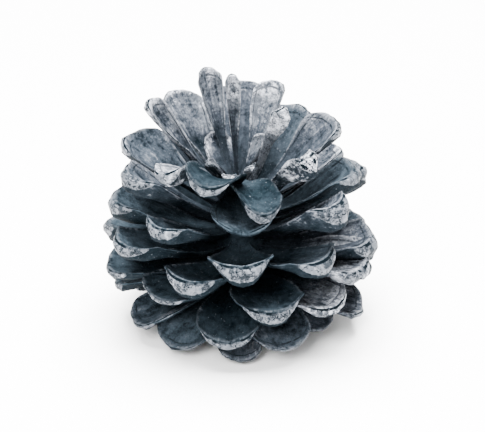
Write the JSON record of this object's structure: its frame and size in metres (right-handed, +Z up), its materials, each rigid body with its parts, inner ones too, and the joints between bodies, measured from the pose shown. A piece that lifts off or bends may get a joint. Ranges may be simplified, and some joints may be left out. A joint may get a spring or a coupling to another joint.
{
  "type": "pine cone",
  "caption": "Open pine cone standing on its lowest scales: woody spoon-shaped scales spiral up a short axis, long and upright round the apex.",
  "frame": {"origin": "middle of the flat stalk scar under the cone, on the surface it stands on", "axes": "+Z up along the cone's axis, which leans 3 degrees towards -X; -Y is the side seen in the picture"},
  "size_m": [0.0628, 0.0644, 0.0618],
  "materials": {
    "painted_wood": "dry woody scales with a thin silver grey coat, dark blue grey in the depths"
  },
  "bodies": {
    "root": {"cone": "painted_wood"}
  },
  "joints": []
}
